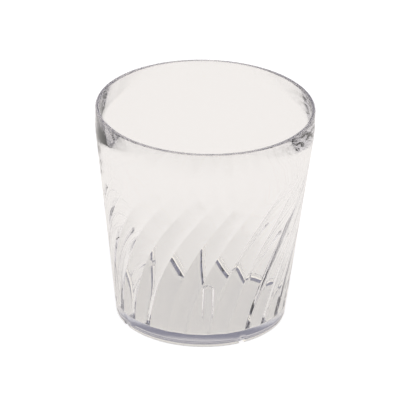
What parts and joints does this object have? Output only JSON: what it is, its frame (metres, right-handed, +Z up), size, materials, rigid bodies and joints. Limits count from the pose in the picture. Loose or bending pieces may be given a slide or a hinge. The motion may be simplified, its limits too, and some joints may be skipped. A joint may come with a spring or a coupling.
{
  "type": "tumbler cup",
  "caption": "Clear moulded plastic drinking tumbler with a tapered side, an upright band under the lip, swirled ribs and stacking lugs inside, and drain notches under the foot.",
  "frame": {"origin": "middle of the foot, on the surface that the cup stands on", "axes": "+Z up the cup's axis to the lip, and the front of the picture faces -Y"},
  "size_m": [0.0825, 0.0824, 0.0855],
  "materials": {
    "clear_plastic": "clear and polished"
  },
  "bodies": {
    "root": {"tumbler": "clear_plastic"}
  },
  "joints": []
}
